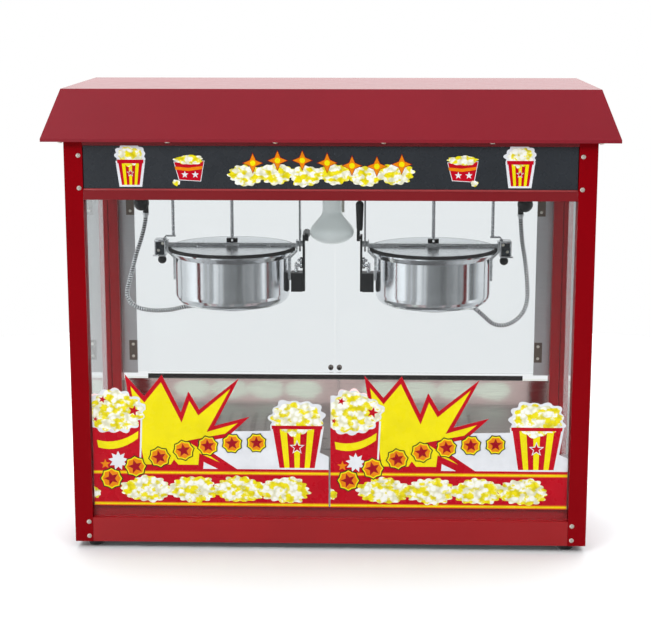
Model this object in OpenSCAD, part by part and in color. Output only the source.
// Counter-top popcorn maker with two kettles in a glazed cabinet.
// Millimetres, +Z up, the front faces -Y. The origin is the centre of the
// footprint, on the surface that the feet stand on.

/* [Cabinet] */
// Width over the corner posts
frame_w = 860; // [850:2:870]
// Depth over the corner posts
frame_d = 372; // [370:1:376]
// Height of the underside of the eaves above the table
eave_z = 689; // [685:1:693]
// Side of the square corner posts
post_w = 30; // [29:0.5:31]
// Thickness of the folded steel sheet
sheet_t = 1.5; // [1.2:0.1:1.6]
// Thickness of the glass panes
glass_t = 4; // [3:0.5:4]
// Height of the rubber feet
foot_h = 12; // [10:1:13]

/* [Base] */
// Height of the base's ledge above the table
ledge_z = 54; // [54:1:56]
// Height of the floor plate's underside above the table
floor_z = 72; // [71:1:74]
// Width of the crumb drawer
drawer_w = 640; // [600:10:660]
// Width of one perforated plate over the drawer
sieve_w = 276; // [270:2:280]
// Depth of one perforated plate over the drawer
sieve_d = 200; // [190:2:210]

/* [Header and roof] */
// Height of the header's lower edge above the table
header_z = 594; // [592:1:596]
// Height of the ceiling plate's underside above the table
ceiling_z = 610; // [610:1:612]
// Height of the roof cover over the eaves
roof_h = 83; // [80:1:90]
// How far the eaves stand out at the sides
eave_side = 35; // [32:1:38]
// How far the eaves stand out at the front and rear
eave_front = 14; // [13:1:16]
// How far the roof slopes in at each side
roof_inset = 30; // [26:1:34]

/* [Rear doors] */
// Height of the sill under the doors
sill_z = 213; // [205:1:220]
// Distance of the door hinges from the middle
door_hinge_x = 384; // [383:0.5:385]

/* [Kettles] */
// Distance of each kettle's centre from the middle
kettle_x = 175; // [174:0.5:176]
// Outer radius of the pot
pot_r = 100; // [99:0.5:100]
// Height of the pot
pot_h = 96; // [90:1:100]
// Height of the pot's rim above the table
rim_z = 487; // [486:0.5:488]
// Thickness of the pot's wall
pot_t = 1.5; // [1.2:0.1:2]
// Radius of the half lids
lid_r = 107; // [104:0.5:107.5]
// Radius of the stirrer and drive shafts
shaft_r = 3; // [2.8:0.1:3]

/* [Heat lamp] */
// Greatest radius of the reflector lamp
lamp_r = 38.5; // [36:0.5:38.5]
// Height of the lamp's face above the table
lamp_z = 495; // [490:1:500]

/* [Hidden] */
$fn = 64;

// Colours
red = [0.66, 0.04, 0.08];
steel = [0.75, 0.76, 0.78];
polished = [0.82, 0.83, 0.85];
black = [0.06, 0.06, 0.07];
clear = [0.85, 0.92, 0.95, 0.3];

// Gaps between parts of one assembly, and radial play of a running fit
gap = 0.2;
play = 0.05;

// Cabinet planes
side_x = frame_w / 2;
front_y = frame_d / 2;
post_x = side_x - post_w;
post_y = front_y - post_w;
ledge_w = 14;

// Grooves in the posts that hold the panes
groove_in = 8;
groove_w = 5;
groove_depth = 10;
pane_in = groove_in + (groove_w - glass_t) / 2;
pane_bottom = ledge_z + 1;
pane_top = ceiling_z - 2;
pane_side = 1;

// Post screws: distance in from the cabinet's side, and heights
screw_in = 23.5;
screw_zs = [21.5, 46.5, 613, 666];
screw_hole_r = 2.2;
screw_r = 2;
screw_head_r = 4;
screw_head_h = 2;

// Screws under the eaves
eave_screw_pitch = 173.4;
eave_screw_in = 5;

// Header
sign_recess = 4.5;
sign_bottom = header_z + 17;
sign_top = eave_z - 7;
flange = 7;

// Kettle geometry, seen with +x pointing away from the middle of the cabinet
pivot_z = rim_z + 8;
pivot_r = 5;
boss_r = 5;
boss_groove_r = 3.2;
groove_x = 123;
plunger_r = 2;
plunger_play = 0.3;
corner_r = 20;
flare_h = 13;
rim_r = pot_r + 10;
strap_t = 2.5;
strap_half = 10;
strap_in = rim_r + 1.5;
bar_half = 6;
bar_bottom = rim_z + 1;
bar_top = rim_z + 9;
lid_t = 1.2;
lid_z = rim_z + 2.6;
lid_edge_t = 1.5;
lid_pin_y = 10;
lid_pin_z = rim_z + 4;
lid_pin_r = 1.5;
knuckle_r = 2.5;
knuckle_in = 13;
knuckle_out = 60;
tab_in = 10.5;
tab_out = 66;
tab_half = 1.25;
head_bottom = pivot_z + 2;
head_floor = pivot_z + 3.5;
head_top = pivot_z + 9.5;
head_half_x = 9.5;
head_half_y = 5;
tongue_z = pivot_z + 6.9;
round_z = pivot_z + 11.5;
tongue_t = 3;
slot_w = 3.6;
pot_bottom = rim_z - pot_h;
cap_h = 7;
cap_r = 50;
gland_z = pot_bottom - 7;
gland_end = 72;
end_gap = 0.3;
gland_r = 5;

// Hanger, arm and handle, as distances from the middle of the cabinet
hanger_x = 55;
hanger_t = 3;
hanger_half = 14;
arm_x = 48;
arm_t = 4;
handle_pin_z = pivot_z + 9;
handle_pin_r = 2.5;
grip_r = 7;
grip_x = 47;
rod_x = 277;
rod_y = -6;
rod_r = 2.75;
bracket_in = kettle_x + 115;
bracket_out = kettle_x + 134;
bracket_front = 13;
bracket_bottom = pivot_z - 21;
bracket_top = pivot_z + 5.5;
bracket_t = 2;
hook_z = pivot_z + 12.5;

// Conduits: plug place, nipple, and route points in X and Z (X away from the middle)
plug_x = 332.5;
plug_r = 13.5;
plug_z = 565;
nipple_x = 325;
nipple_r = 5;
nipple_z = 548;
conduit_r = 4;
conduit_sides = 8;
conduit_steps = 2;
conduit_end_x = kettle_x + gland_end + end_gap;
route_left = [[325, 548], [327, 530], [334, 503], [344, 473], [354, 436], [361, 406], [355, 389],
    [340, 379], [315, 375], [288, 376], [264, 381], [conduit_end_x, gland_z]];
route_right = [[325, 548], [326, 530], [329, 500], [335, 465], [339, 430], [340, 400], [334, 377],
    [319, 360], [300, 352], [281, 355], [264, 369], [conduit_end_x, gland_z]];

// Rear doors
door_t = 4;
door_y = front_y - 9.5;
jamb_y = front_y - 12;
jamb_t = 2;
hinge_y = front_y - 2;
knuckle_h = 38;
hinge_zs = [245, 520];
hinge_pin_r = 2.5;
hinge_r = 4.5;
door_bottom = sill_z + 9;
door_top = header_z - 2;

// Crumb drawer and its runners
drawer_bottom = 18;
drawer_top = 50;
drawer_front = -150;
wall = 1.2;

// ---------------------------------------------------------------- helpers

// A box between two corners
module block(a, b) {
    translate(a) cube(b - a);
}

// A rod or bore along X
module rod_x(x0, x1, y, z, r) {
    translate([x0, y, z]) rotate([0, 90, 0]) cylinder(r = r, h = x1 - x0);
}

// A rod or bore along Y
module rod_y(y0, y1, x, z, r) {
    translate([x, y0, z]) rotate([-90, 0, 0]) cylinder(r = r, h = y1 - y0);
}

// A rectangle with its four corners notched out
module notched(w, d, notch) {
    square([w - 2 * notch, d], center = true);
    square([w, d - 2 * notch], center = true);
}

// A notched wall of sheet, open above and below
module notched_wall(w, d, notch, z0, z1) {
    translate([0, 0, z0]) linear_extrude(z1 - z0) difference() {
        notched(w, d, notch);
        notched(w - 2 * sheet_t, d - 2 * sheet_t, notch);
    }
}

// Mirrors a part made for the right side (+X) to the side asked for
module on_side(side) {
    mirror([side < 0 ? 1 : 0, 0, 0]) children();
}

// Moves a kettle part, made about its own axis, to its place
module at_kettle(side) {
    on_side(side) translate([kettle_x, 0, 0]) children();
}

// Points along an arc
function arc(cx, cy, r, a0, a1, n) = [for (i = [0:n]) let (a = a0 + (a1 - a0) * i / n)
    [cx + r * cos(a), cy + r * sin(a)]];

// Catmull-Rom curve through a list of points
function spline_at(p0, p1, p2, p3, t) = 0.5 * (2 * p1 + (p2 - p0) * t
    + (2 * p0 - 5 * p1 + 4 * p2 - p3) * t * t + (3 * p1 - p0 - 3 * p2 + p3) * t * t * t);
function smooth(pts, steps) = let (n = len(pts)) concat(
    [for (i = [0:n - 2]) for (j = [0:steps - 1])
        spline_at(pts[max(i - 1, 0)], pts[i], pts[i + 1], pts[min(i + 2, n - 1)], j / steps)],
    [pts[n - 1]]);

// ---------------------------------------------------------------- base

// Folded base: walls notched round the posts, a ledge and an upstand for the floor
module base_shell() color(red) {
    notch = post_w + gap;
    inner = notch - ledge_w;
    difference() {
        union() {
            notched_wall(frame_w, frame_d, notch, foot_h, ledge_z);
            notched_wall(frame_w - 2 * ledge_w, frame_d - 2 * ledge_w, inner, ledge_z - sheet_t, floor_z);
            translate([0, 0, ledge_z - sheet_t]) linear_extrude(sheet_t) difference() {
                notched(frame_w, frame_d, notch);
                notched(frame_w - 2 * ledge_w - sheet_t, frame_d - 2 * ledge_w - sheet_t, inner);
            }
        }
        block([-drawer_w / 2 - 2, front_y - 3, drawer_bottom - 1.5],
            [drawer_w / 2 + 2, front_y + 1, ledge_z - sheet_t - 2]);
    }
}

// Flat bottom plate with the drawer's two runners
module bottom_plate() color(steel) {
    runner_h = 22;
    translate([0, 0, foot_h]) linear_extrude(sheet_t)
        notched(frame_w - 2 * sheet_t - 1, frame_d - 2 * sheet_t - 1, post_w + 1);
    for (s = [-1, 1]) on_side(s) {
        block([drawer_w / 2 + 1.5, drawer_front - 2, foot_h + sheet_t],
            [drawer_w / 2 + 3, front_y - 6, foot_h + sheet_t + runner_h]);
        block([drawer_w / 2 - 20, drawer_front - 2, foot_h + sheet_t],
            [drawer_w / 2 + 1.5, front_y - 6, drawer_bottom - gap]);
    }
}

// Four rubber feet with a recessed screw hole
module rubber_feet() color(black) {
    top_r = 15;
    low_r = 13.5;
    for (sx = [-1, 1], sy = [-1, 1])
        translate([sx * (side_x - post_w - 1), sy * (front_y - post_w + 2), 0])
            rotate_extrude() polygon([[3, 5], [3, foot_h], [top_r, foot_h], [top_r, foot_h - 3],
                [low_r, 1], [low_r - 1, 0], [6, 0], [6, 5]]);
}

// ---------------------------------------------------------------- frame

// Cross section of a post: outer corner at the origin, two pane grooves
module post_section() {
    lining = sheet_t;
    difference() {
        union() {
            difference() {
                square(post_w);
                translate([sheet_t, sheet_t]) square(post_w - 2 * sheet_t);
            }
            translate([post_w - groove_depth - lining, groove_in - lining])
                square([groove_depth + lining, groove_w + 2 * lining]);
            translate([groove_in - lining, post_w - groove_depth - lining])
                square([groove_w + 2 * lining, groove_depth + lining]);
        }
        translate([post_w - groove_depth, groove_in]) square([groove_depth + 1, groove_w]);
        translate([groove_in, post_w - groove_depth]) square([groove_w, groove_depth + 1]);
    }
}

// One post for the front right corner, its outer corner at the origin
module post() {
    difference() {
        translate([0, 0, foot_h]) linear_extrude(eave_z - foot_h) post_section();
        for (z = screw_zs) rod_y(-1, sheet_t + 1, screw_in, z, screw_hole_r);
    }
}

module post_pair(front) {
    for (s = [-1, 1]) on_side(s)
        mirror([0, front ? 0 : 1, 0])
            translate([side_x, -front_y, 0]) mirror([1, 0, 0]) post();
}

module front_posts() color(red) post_pair(true);

module rear_posts() color(red) post_pair(false);

// Header: recessed front panel and two side panels, between the posts
module header_panels() color(red) {
    face = -front_y;
    back = face + sign_recess + sheet_t;
    half = post_x - gap;
    translate([-half, 0, 0]) rotate([90, 0, 90]) linear_extrude(2 * half) {
        translate([face, header_z]) square([flange, sheet_t]);
        translate([face, header_z]) square([sheet_t, sign_bottom - header_z]);
        translate([face, sign_bottom - sheet_t]) square([sign_recess + sheet_t, sheet_t]);
        translate([back - sheet_t, sign_bottom - sheet_t])
            square([sheet_t, sign_top - sign_bottom + 2 * sheet_t]);
        translate([face, sign_top]) square([sign_recess + sheet_t, sheet_t]);
        translate([face, sign_top]) square([sheet_t, eave_z - sign_top]);
        translate([face, eave_z - sheet_t]) square([2 * flange, sheet_t]);
    }
    for (s = [-1, 1]) on_side(s)
        translate([0, post_y - gap, 0]) rotate([90, 0, 0]) linear_extrude(2 * (post_y - gap)) {
            translate([side_x - sheet_t, header_z]) square([sheet_t, eave_z - header_z]);
            translate([side_x - flange + 1, header_z]) square([flange - 1, sheet_t]);
            translate([side_x - 2 * flange, eave_z - sheet_t]) square([2 * flange, sheet_t]);
        }
}

// Printed sign pane in the header's recess
module sign_panel() color(black) {
    pane_t = 3.5;
    block([-post_x + 1.5, -front_y + 0.7, sign_bottom + 0.3],
        [post_x - 1.5, -front_y + 0.7 + pane_t, sign_top - 0.3]);
}

// Ceiling of the cabin, drilled for the drives, rods and lamp
module ceiling_plate() color(steel) {
    rear_y = front_y - 8;
    difference() {
        union() {
            block([-post_x + 0.3, -front_y + sign_recess + sheet_t + 0.2, ceiling_z],
                [post_x - 0.3, rear_y, ceiling_z + sheet_t]);
            block([-side_x + sheet_t + 0.2, -post_y + 0.3, ceiling_z],
                [side_x - sheet_t - 0.2, post_y - 0.3, ceiling_z + sheet_t]);
        }
        for (s = [-1, 1]) on_side(s) {
            translate([kettle_x, 0, ceiling_z - 1]) cylinder(r = 5, h = 4);
            translate([rod_x, rod_y, ceiling_z - 1]) cylinder(r = rod_r + gap, h = 4);
        }
    }
}

// Roof: a shell with four sloping sides, a short vertical lip and an in-turned flange
module roof_solid(in, z0, h) {
    lip = 5;
    w = frame_w / 2 + eave_side - in;
    d = front_y + eave_front - in;
    intersection() {
        translate([0, d + 1, 0]) rotate([90, 0, 0]) linear_extrude(2 * d + 2)
            polygon([[-w, z0], [w, z0], [w, lip], [w - roof_inset, h], [roof_inset - w, h], [-w, lip]]);
        translate([-w - 1, 0, 0]) rotate([90, 0, 90]) linear_extrude(2 * w + 2)
            polygon([[-d, z0], [d, z0], [d, lip], [d - roof_inset, h], [roof_inset - d, h], [-d, lip]]);
    }
}

module roof_cover() color(red) translate([0, 0, eave_z]) {
    difference() {
        roof_solid(0, 0, roof_h);
        roof_solid(sheet_t, sheet_t, roof_h - sheet_t);
        block([-side_x + 18, -front_y + 18, -1], [side_x - 18, front_y - 18, sheet_t + 1]);
        eave_screws_at() translate([0, 0, -1]) cylinder(r = screw_hole_r, h = sheet_t + 2);
    }
}

// Places of the screws under the front and rear eaves, from the eaves' underside
module eave_screws_at() {
    for (i = [-2.5:1:2.5], sy = [-1, 1])
        translate([i * eave_screw_pitch, sy * (front_y + eave_front - eave_screw_in), 0]) children();
}

// ---------------------------------------------------------------- panes and panels

module front_glass() color(clear) {
    half = post_x + groove_depth - pane_side;
    block([-half, -front_y + pane_in, pane_bottom], [half, -front_y + pane_in + glass_t, pane_top]);
}

module side_glass(side) color(clear) on_side(side) {
    half = post_y + groove_depth - pane_side;
    block([side_x - pane_in - glass_t, -half, pane_bottom], [side_x - pane_in, half, pane_top]);
}

// Cabin floor with two openings for the perforated plates
module floor_plate() color(steel) {
    rim = 8;
    difference() {
        translate([0, 0, floor_z]) linear_extrude(sheet_t)
            notched(frame_w - 2 * ledge_w, frame_d - 2 * ledge_w, post_w + gap - ledge_w);
        for (s = [-1, 1]) on_side(s)
            block([sieve_x() - sieve_w / 2 + rim, -sieve_d / 2 + rim, floor_z - 1],
                [sieve_x() + sieve_w / 2 - rim, sieve_d / 2 - rim, floor_z + sheet_t + 1]);
    }
}

function sieve_x() = sieve_w / 2 + 16;

// Two lift-out plates, punched with round holes that let hard kernels through
module sieve_plates() color(steel) {
    hole_r = 4.5;
    columns = 10;
    rows = 7;
    pitch = 25;
    plate_t = 1.2;
    for (s = [-1, 1]) on_side(s) translate([sieve_x(), 0, floor_z + sheet_t]) difference() {
        block([-sieve_w / 2, -sieve_d / 2, 0], [sieve_w / 2, sieve_d / 2, plate_t]);
        for (i = [0:columns - 1], j = [0:rows - 1])
            translate([(i - (columns - 1) / 2) * pitch, (j - (rows - 1) / 2) * pitch, -1])
                cylinder(r = hole_r, h = plate_t + 2, $fn = 24);
    }
}

// Bright panel below the doors, with a sill and a raised stop
module rear_panel() color(polished) {
    sill_front = front_y - 26;
    stop_half = 351;
    half = post_x - gap;
    block([-post_x - 8, jamb_y, pane_bottom], [post_x + 8, jamb_y + sheet_t, sill_z - 4]);
    block([-half, jamb_y, sill_z - 4], [half, jamb_y + sheet_t, sill_z]);
    block([-half, sill_front, sill_z - sheet_t], [half, jamb_y + sheet_t, sill_z]);
    block([-half, sill_front, sill_z - 4], [half, sill_front + sheet_t, sill_z]);
    block([-stop_half, sill_front + 4, sill_z], [stop_half, sill_front + 4 + sheet_t, sill_z + 8]);
}

// Jamb strips in the rear posts' grooves, with the doors' fixed hinge leaves and pins
module door_jambs() color(steel) {
    inner_x = 371.5;
    leaf_t = 1.5;
    for (s = [-1, 1]) on_side(s) {
        block([inner_x, jamb_y, sill_z + 7], [post_x + 8, jamb_y + jamb_t, pane_top]);
        for (z = hinge_zs) {
            block([inner_x + 0.5, jamb_y - leaf_t, z], [inner_x + 15, jamb_y, z + knuckle_h]);
            hinge_leaf(z, leaf_t);
        }
    }
}

// Fixed leaf: plate, two end knuckles and the pin, for the right side
module hinge_leaf(z, leaf_t) {
    third = knuckle_h / 3;
    rear = jamb_y + jamb_t;
    block([door_hinge_x + 5.5, rear, z], [post_x - 1, rear + leaf_t, z + knuckle_h]);
    for (k = [0, 2]) translate([0, 0, z + k * third]) {
        translate([door_hinge_x, hinge_y, 0]) cylinder(r = hinge_r, h = third);
        block([door_hinge_x, rear, 0], [door_hinge_x + 6, hinge_y, third]);
    }
    translate([door_hinge_x, hinge_y, z]) cylinder(r = hinge_pin_r, h = knuckle_h);
}

// ---------------------------------------------------------------- rear controls

switch_xs = [-90, 0, 90];
switch_z = 645;
rocker_rest = 7;

module control_panel() color(red) {
    half = post_x - gap;
    difference() {
        union() {
            block([-half, front_y - sheet_t, header_z], [half, front_y, eave_z]);
            block([-half, front_y - flange + 2, header_z], [half, front_y, header_z + sheet_t]);
            block([-half, front_y - 2 * flange, eave_z - sheet_t], [half, front_y, eave_z]);
        }
        for (x = switch_xs)
            block([x - 11.1, front_y - 3, switch_z - 15.1], [x + 11.1, front_y + 1, switch_z + 15.1]);
        rod_y(front_y - 3, front_y + 1, 330, 630, 8.1);
    }
}

// Snap-in housings of the three rocker switches
module switch_housings() color(black) {
    for (x = switch_xs) translate([x, front_y, switch_z]) difference() {
        union() {
            block([-11, -22, -15], [11, 0, 15]);
            block([-13, 0, -17], [13, 2, 17]);
        }
        block([-10, -14, -13.8], [10, 3, 13.8]);
    }
}

// A rocker, pressed in at the bottom while off
module rocker(index) color(black) {
    translate([switch_xs[index], front_y - 2, switch_z]) rotate([-rocker_rest, 0, 0])
        rotate([90, 0, 90]) translate([0, 0, -9.5]) linear_extrude(19)
            polygon([[-7, -6], [1, -12.6], [4, -12], [5.5, 0], [4, 12], [1, 12.6], [-7, 6]]);
}

// Gland where the supply lead enters
module cable_gland() color(black) translate([330, front_y, 630]) rotate([-90, 0, 0])
    rotate_extrude() polygon([[4.5, -10], [8, -10], [8, 0], [11, 0], [11, 4], [8, 5], [7, 12], [4.5, 12]]);

// Ceramic terminal block on the ceiling plate
module terminal_block() color("white") {
    ways = 5;
    pitch = 14;
    translate([0, 110, ceiling_z + sheet_t]) difference() {
        block([-ways * pitch / 2, -12, 0], [ways * pitch / 2, 12, 16]);
        for (i = [0:ways - 1]) for (y = [-6, 6])
            translate([(i - (ways - 1) / 2) * pitch, y, 8]) cylinder(r = 3, h = 9);
    }
}

// ---------------------------------------------------------------- lamp and drives

lamp_x = -1;

// Socket under the ceiling, with the strap that steadies the lamp
module lamp_socket() color("whitesmoke") {
    mouth_z = ceiling_z - 24;
    translate([lamp_x, 0, 0]) difference() {
        union() {
            translate([0, 0, mouth_z]) cylinder(r = 20, h = ceiling_z - mouth_z);
            translate([0, 0, ceiling_z - 3]) cylinder(r = 28, h = 3);
        }
        translate([0, 0, mouth_z - 1]) cylinder(r = 13.6, h = 23);
    }
    block([13, 29, 546], [20, 31, ceiling_z]);
}

// Reflector lamp: domed face, bell-shaped reflector, neck and cap
module heat_lamp() color("gainsboro") {
    neck_r = 16.5;
    face_h = 21;
    bell_h = 38;
    screw_cap_r = 13.2;
    wide_z = lamp_z + face_h;
    neck_top = ceiling_z - 32;
    face = [for (i = [0:8]) let (a = i * 90 / 8) [lamp_r * sin(a), wide_z - face_h * cos(a)]];
    bell = [for (i = [1:10]) let (t = i / 10)
        [neck_r + (lamp_r - neck_r) * (1 + cos(180 * t)) / 2, wide_z + bell_h * t]];
    translate([lamp_x, 0, 0]) rotate_extrude() polygon(concat(face, bell,
        [[neck_r, neck_top], [screw_cap_r, neck_top + 7], [screw_cap_r, ceiling_z - 3], [5, ceiling_z - 2.2],
            [0, ceiling_z - 2.2]]));
}

// Gear motor on the ceiling plate, bored from below for the drive rod
module gear_motor(side) color(steel) at_kettle(side) translate([0, 0, ceiling_z + sheet_t]) {
    difference() {
        union() {
            cylinder(r = 32, h = 26);
            translate([0, 0, 26]) cylinder(r = 26, h = 42);
            block([-44, -9, 0], [44, 9, 3]);
        }
        translate([0, 0, -1]) cylinder(r = shaft_r + play, h = 21);
        for (s = [-1, 1]) translate([s * 39, 0, -1]) cylinder(r = 2.2, h = 5);
    }
}

// Rod from the gear motor, flattened at its lower end to a tongue
module drive_rod(side) color(steel) at_kettle(side) {
    translate([0, 0, round_z]) cylinder(r = shaft_r, h = ceiling_z + sheet_t + 19 - round_z);
    intersection() {
        translate([0, 0, tongue_z]) cylinder(r = shaft_r, h = round_z - tongue_z);
        block([-tongue_t / 2, -shaft_r, tongue_z], [tongue_t / 2, shaft_r, round_z]);
    }
}

// Stirrer: slotted head, shaft through the yoke, and a blade with four fingers
module stirrer(side) color(steel) at_kettle(side) {
    blade_z = pot_bottom + pot_t + 3;
    blade_half = 78;
    blade_h = 5;
    difference() {
        block([-head_half_x, -head_half_y, head_bottom], [head_half_x, head_half_y, head_top]);
        block([-slot_w / 2, -head_half_y - 1, head_floor], [slot_w / 2, head_half_y + 1, head_top + 1]);
    }
    translate([0, 0, blade_z]) cylinder(r = shaft_r, h = head_bottom - blade_z);
    block([-blade_half, -2, blade_z], [blade_half, 2, blade_z + blade_h]);
    for (x = [-64, -36, 36, 64])
        translate([x, 0, blade_z + blade_h]) cylinder(r = 1.8, h = 14);
}

// ---------------------------------------------------------------- kettles

// Pot with a rounded bottom corner and a flared, beaded rim
module pot(side) color(polished) at_kettle(side) translate([0, 0, pot_bottom]) {
    inside = pot_r - pot_t;
    outer = concat([[0, 0]], arc(pot_r - corner_r, corner_r, corner_r, -90, 0, 6),
        [[pot_r, pot_h - flare_h], [pot_r + 8, pot_h - 4], [rim_r, pot_h - 4], [rim_r, pot_h]]);
    inner = concat([[rim_r - 3.5, pot_h], [rim_r - 3.5, pot_h - 3.2], [inside, pot_h - flare_h]],
        arc(pot_r - corner_r, corner_r, corner_r - pot_t, 0, -90, 6), [[0, pot_t]]);
    rotate_extrude($fn = 96) polygon(concat(outer, inner));
}

// Heater cover under the pot, with the conduit's gland and a small fixing nub
module kettle_base(side) color(steel) at_kettle(side) {
    low = pot_bottom - cap_h;
    difference() {
        union() {
            translate([0, 0, low]) cylinder(r = cap_r, h = cap_h - 0.1);
            rod_x(cap_r - 12, gland_end, 0, gland_z + 0.5, gland_r);
        }
        translate([0, 0, low + 2]) cylinder(r = cap_r - 2, h = cap_h - 4);
    }
    translate([38, 0, low - 5]) cylinder(r = 5, h = 5);
}

// Strap on one end of the yoke: down the pot's side, out past the rim, up to the pivot
module yoke_strap() {
    low = pot_bottom + 41;
    top = pivot_z + 6;
    jog_low = rim_z - 17;
    jog_top = rim_z - 5;
    hug = pot_r - 1;
    out = hug + strap_t + 1;
    difference() {
        translate([0, strap_half, 0]) rotate([90, 0, 0]) linear_extrude(2 * strap_half)
            polygon([[hug, low], [out, low], [out, jog_low], [strap_in + strap_t, jog_top],
                [strap_in + strap_t, top], [strap_in, top],
                [strap_in, jog_top + 1], [hug, jog_low + 1]]);
        translate([0, 0, low - 1]) cylinder(r = pot_r + play, h = pot_h, $fn = 128);
    }
}

// Section of the yoke's bar with chamfered shoulders, or of its hollow when set in by a wall
module bar_section(in) {
    shoulder = 3.5;
    half = bar_half - in;
    crown = 3.2 - in / 2;
    polygon([[-half, bar_bottom - in], [-half, bar_bottom + shoulder - in / 2], [-crown, bar_top - in],
        [crown, bar_top - in], [half, bar_bottom + shoulder - in / 2], [half, bar_bottom - in]]);
}

// Yoke across the pot: channel with the shaft's bush, straps, pivots and lid pins
module yoke(side) color(steel) at_kettle(side) {
    bush_half = 8;
    pivot_end = kettle_x - arm_x;
    difference() {
        union() {
            translate([-strap_in, 0, 0]) rotate([90, 0, 90]) linear_extrude(2 * strap_in) bar_section(0);
            for (sx = [-1, 1], x = [tab_in, tab_out])
                block([sx * x - tab_half, -lid_pin_y - knuckle_r, bar_bottom + 0.2],
                    [sx * x + tab_half, lid_pin_y + knuckle_r, lid_pin_z + knuckle_r]);
            for (sx = [-1, 1], sy = [-1, 1])
                rod_x((sx > 0 ? tab_in : -tab_out) - tab_half, (sx > 0 ? tab_out : -tab_in) + tab_half,
                    sy * lid_pin_y, lid_pin_z, lid_pin_r);
            yoke_strap();
            mirror([1, 0, 0]) yoke_strap();
            rod_x(strap_in, bracket_out - kettle_x + 1, 0, pivot_z, boss_r);
            rod_x(-pivot_end, -strap_in, 0, pivot_z, pivot_r);
        }
        for (s = [-1, 1]) mirror([s < 0 ? 1 : 0, 0, 0])
            translate([bush_half, 0, 0]) rotate([90, 0, 90])
                linear_extrude(strap_in - 3 - bush_half) bar_section(sheet_t);
        translate([0, 0, bar_bottom - 1]) cylinder(r = shaft_r + play, h = 12);
        difference() {
            rod_x(groove_x - plunger_r - plunger_play, groove_x + plunger_r + plunger_play,
                0, pivot_z, boss_r + 1);
            rod_x(groove_x - plunger_r - 1, groove_x + plunger_r + 1, 0, pivot_z, boss_groove_r);
        }
    }
}

// Half lid with a turned-down edge and two rolled knuckles, made for the rear
module lid(side, rear) color(polished) at_kettle(side) mirror([0, rear ? 0 : 1, 0]) {
    notch_half = 4.5;
    difference() {
        union() {
            intersection() {
                lid_disc();
                block([-lid_r, lid_pin_y, rim_z], [lid_r, lid_r, lid_z + lid_t]);
            }
            for (s = [-1, 1]) mirror([s < 0 ? 1 : 0, 0, 0])
                rod_x(knuckle_in, knuckle_out, lid_pin_y, lid_pin_z, knuckle_r);
        }
        for (s = [-1, 1]) mirror([s < 0 ? 1 : 0, 0, 0]) {
            rod_x(tab_in, tab_out, lid_pin_y, lid_pin_z, lid_pin_r + play);
            block([tab_out - notch_half, lid_pin_y - 1, rim_z], [tab_out + notch_half, 15, lid_z + 5]);
        }
        block([-knuckle_in, 0, rim_z], [knuckle_in, 15, lid_z + 5]);
    }
}

// Round lid plate with the turned-down edge
module lid_disc() {
    edge_z = rim_z + 0.4;
    rotate_extrude($fn = 96) polygon([[0, lid_z], [lid_r - lid_edge_t, lid_z],
        [lid_r - lid_edge_t, edge_z], [lid_r, edge_z], [lid_r, lid_z + lid_t], [0, lid_z + lid_t]]);
}

// Arm on the inner pivot, with the block that carries it against the pot's strap
module dump_arm(side) color(black) on_side(side) {
    half = 9;
    low = 412;
    block_half = 14;
    difference() {
        block([arm_x, -half, low], [arm_x + arm_t, half, handle_pin_z + 7]);
        rod_x(arm_x - 1, arm_x + arm_t + 1, 0, pivot_z, pivot_r + play);
        rod_x(arm_x - 1, arm_x + arm_t + 1, 0, handle_pin_z + 1.5, handle_pin_r + play);
    }
    block([arm_x + arm_t, -block_half, low], [kettle_x - pot_r - 3, block_half, low + 33]);
}

// Folding handle: eye on its pin, shank and grip. It stands up at 90 and lies back at 0
module dump_handle(side, angle) color(black) on_side(side)
    translate([0, 0, handle_pin_z + 1.5]) rotate([angle, 0, 0]) {
        rod_x(arm_x - 6, arm_x + arm_t, 0, 0, handle_pin_r);
        rod_x(arm_x - 6, arm_x - 0.5, 0, 0, 6);
        block([arm_x - 6, 0, -3], [arm_x - 0.5, 14, 3]);
        translate([grip_x, 13, 0]) rotate([-90, 0, 0]) rotate_extrude()
            polygon(concat([[0, 0], [4.5, 0], [5.5, 4]], arc(0, 45, grip_r, 0, 90, 5)));
    }

// Inner hanger plate with its top flange and the pivot's bore
module inner_hanger(side) color(steel) on_side(side) difference() {
    union() {
        block([hanger_x, -hanger_half, pivot_z], [hanger_x + hanger_t, hanger_half, ceiling_z]);
        rod_x(hanger_x, hanger_x + hanger_t, 0, pivot_z, hanger_half);
        block([hanger_x, -hanger_half, ceiling_z - 3], [hanger_x + 18, hanger_half, ceiling_z]);
    }
    rod_x(hanger_x - 1, hanger_x + hanger_t + 1, 0, pivot_z, pivot_r + play);
}

// Outer hanger: rod from the ceiling, hook, and the folded bracket that holds pivot and latch
module outer_hanger(side) color(steel) on_side(side) {
    hook_half = 3.5;
    difference() {
        block([bracket_in, -bracket_front, bracket_bottom],
            [bracket_out, bracket_front - 1, bracket_top + bracket_t]);
        block([bracket_in + bracket_t, -bracket_front + bracket_t, bracket_bottom + bracket_t],
            [bracket_out - bracket_t, bracket_front, bracket_top]);
        rod_x(bracket_in - 1, bracket_out + 1, 0, pivot_z, boss_r + play);
        translate([kettle_x + groove_x, 0, bracket_bottom - 1]) cylinder(r = plunger_r + play, h = 4);
    }
    translate([0, rod_y + hook_half, 0]) rotate([90, 0, 0]) linear_extrude(2 * hook_half)
        polygon([[bracket_in, bracket_top], [bracket_in + 5, bracket_top], [bracket_in + 5, hook_z - 3],
            [bracket_in, hook_z + 2.5], [rod_x - 4, hook_z + 2.5], [rod_x - 4, hook_z],
            [bracket_in, hook_z]]);
    translate([rod_x, rod_y, hook_z]) cylinder(r = rod_r, h = ceiling_z + 8 - hook_z);
}

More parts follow.
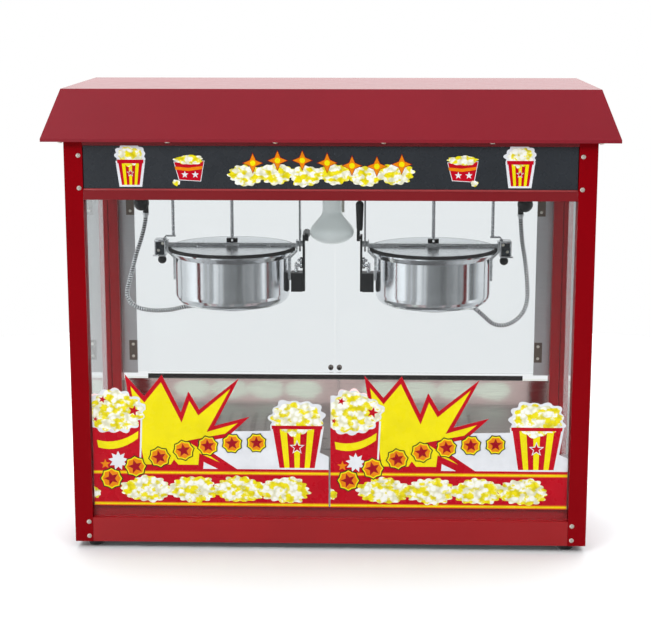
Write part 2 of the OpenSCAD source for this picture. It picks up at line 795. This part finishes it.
// Ball knob on the latch plunger under the bracket
module latch_knob(side) color(black) on_side(side) translate([kettle_x + groove_x, 0, 0]) {
    ball_r = 7.5;
    ball_z = bracket_bottom - 8;
    translate([0, 0, ball_z]) sphere(r = ball_r);
    translate([0, 0, ball_z])
        cylinder(r = plunger_r, h = pivot_z - boss_groove_r - plunger_play - ball_z);
}

// ---------------------------------------------------------------- conduits

// Round plugs hanging from the ceiling, each with the conduit's nipple
module conduit_sockets() color(black) for (s = [-1, 1]) on_side(s) {
    translate([plug_x, 0, 0]) rotate_extrude() polygon(concat(
        arc(0, plug_z, plug_r, -90, 60, 10), [[plug_r / 2, ceiling_z - 4], [18, ceiling_z - 4],
            [18, ceiling_z], [0, ceiling_z]]));
    translate([nipple_x, 0, nipple_z]) cylinder(r = nipple_r, h = 12);
}

// A tube swept along a route that lies in the XZ plane
module sweep_tube(route) {
    pts = smooth(route, conduit_steps);
    n = len(pts);
    k = conduit_sides;
    tangents = [for (i = [0:n - 1]) i == 0 ? [0, -1] : i == n - 1 ? [-1, 0]
        : (pts[i + 1] - pts[i - 1]) / norm(pts[i + 1] - pts[i - 1])];
    rings = [for (i = [0:n - 1]) for (j = [0:k - 1]) let (a = 360 * j / k, t = tangents[i])
        [pts[i][0] - t[1] * conduit_r * cos(a), conduit_r * sin(a), pts[i][1] + t[0] * conduit_r * cos(a)]];
    sides = [for (i = [0:n - 2]) for (j = [0:k - 1])
        [i * k + j, i * k + (j + 1) % k, (i + 1) * k + (j + 1) % k, (i + 1) * k + j]];
    first = [for (j = [0:k - 1]) k - 1 - j];
    last = [for (j = [0:k - 1]) (n - 1) * k + j];
    polyhedron(points = rings, faces = concat(sides, [first], [last]), convexity = 4);
}

module conduit_left() color(steel) on_side(-1) sweep_tube(route_left);

module conduit_right() color(steel) on_side(1) sweep_tube(route_right);

// ---------------------------------------------------------------- fasteners

// One dome-headed screw, its head towards -Y
module dome_screw() rotate([90, 0, 0]) {
    rotate_extrude($fn = 24) polygon([[0, -4], [screw_r, -4], [screw_r, 0], [screw_head_r, 0],
        [screw_head_r - 1, screw_head_h * 0.7], [screw_head_r - 2.4, screw_head_h], [0, screw_head_h]]);
}

// Screws through the posts into base and header, and up through the eaves
module frame_screws() color("silver") {
    for (s = [-1, 1], f = [0, 1], z = screw_zs) on_side(s) mirror([0, f, 0])
        translate([side_x - screw_in, -front_y, z]) dome_screw();
    translate([0, 0, eave_z]) eave_screws_at() rotate([90, 0, 0]) dome_screw();
}

// ---------------------------------------------------------------- drawer and doors

module crumb_drawer() color(steel) {
    half = drawer_w / 2 - 1;
    panel_y = front_y + 0.3;
    tray_front = drawer_front + wall + gap;
    tray_rear = panel_y - gap;
    pull_half = 60;
    pull_top = 44.5;
    pull_low = 37;
    pull_reach = 11;
    difference() {
        block([-half, tray_front, drawer_bottom], [half, tray_rear, drawer_top - 2]);
        block([-half + wall, tray_front - 1, drawer_bottom + wall], [half - wall, tray_rear + 1, drawer_top]);
    }
    block([-half, drawer_front, drawer_bottom], [half, drawer_front + wall, drawer_top - 2]);
    block([-half - 9, panel_y, drawer_bottom - 3], [half + 9, panel_y + sheet_t, ledge_z - 2]);
    block([-pull_half, panel_y + sheet_t, pull_top - sheet_t], [pull_half, panel_y + pull_reach, pull_top]);
    block([-pull_half, panel_y + pull_reach - sheet_t, pull_low],
        [pull_half, panel_y + pull_reach, pull_top]);
}

module door(side) color(clear) on_side(side)
    block([0.5, door_y, door_bottom], [door_hinge_x - 5, door_y + door_t, door_top]);

// Moving hinge leaves, each with its middle knuckle, and the door's knob
module door_fittings(side) color("silver") on_side(side) {
    third = knuckle_h / 3;
    rear = door_y + door_t;
    leaf_t = 1.5;
    for (z = hinge_zs) difference() {
        union() {
            block([door_hinge_x - 12, rear, z], [door_hinge_x - 5.5, rear + leaf_t, z + knuckle_h]);
            block([door_hinge_x - 6, rear, z + third + gap], [door_hinge_x, hinge_y, z + 2 * third - gap]);
            translate([door_hinge_x, hinge_y, z + third + gap])
                cylinder(r = hinge_r, h = third - 2 * gap);
        }
        translate([door_hinge_x, hinge_y, z - 1]) cylinder(r = hinge_pin_r + play, h = knuckle_h + 2);
    }
    translate([8, rear, door_bottom + 7]) rotate([-90, 0, 0]) rotate_extrude()
        polygon([[0, 0], [3, 0], [3, 7], [5, 9], [5, 13], [4, 14], [0, 14]]);
}

// ---------------------------------------------------------------- assembly

base_shell();
bottom_plate();
rubber_feet();
front_posts();
rear_posts();
header_panels();
sign_panel();
ceiling_plate();
roof_cover();
front_glass();
side_glass(-1);  // side_glass_left
side_glass(1);  // side_glass_right
floor_plate();
sieve_plates();
rear_panel();
door_jambs();
control_panel();
switch_housings();
lamp_socket();
heat_lamp();
gear_motor(-1);  // gear_motor_left
gear_motor(1);  // gear_motor_right
inner_hanger(-1);  // inner_hanger_left
inner_hanger(1);  // inner_hanger_right
outer_hanger(-1);  // outer_hanger_left
outer_hanger(1);  // outer_hanger_right
conduit_sockets();
conduit_left();
conduit_right();
terminal_block();
cable_gland();
frame_screws();
crumb_drawer();
door(-1);  // door_left
door(1);  // door_right
door_fittings(-1);  // door_fittings_left
door_fittings(1);  // door_fittings_right
rocker(0);  // rocker_left
rocker(1);  // rocker_middle
rocker(2);  // rocker_right
drive_rod(-1);  // drive_rod_left
drive_rod(1);  // drive_rod_right
stirrer(-1);  // stirrer_left
stirrer(1);  // stirrer_right
pot(-1);  // pot_left
pot(1);  // pot_right
kettle_base(-1);  // kettle_base_left
kettle_base(1);  // kettle_base_right
yoke(-1);  // yoke_left
yoke(1);  // yoke_right
lid(-1, false);  // lid_front_left
lid(-1, true);  // lid_rear_left
lid(1, false);  // lid_front_right
lid(1, true);  // lid_rear_right
dump_arm(-1);  // dump_arm_left
dump_arm(1);  // dump_arm_right
dump_handle(-1, 0);  // dump_handle_left
dump_handle(1, 90);  // dump_handle_right
latch_knob(-1);  // latch_knob_left
latch_knob(1);  // latch_knob_right
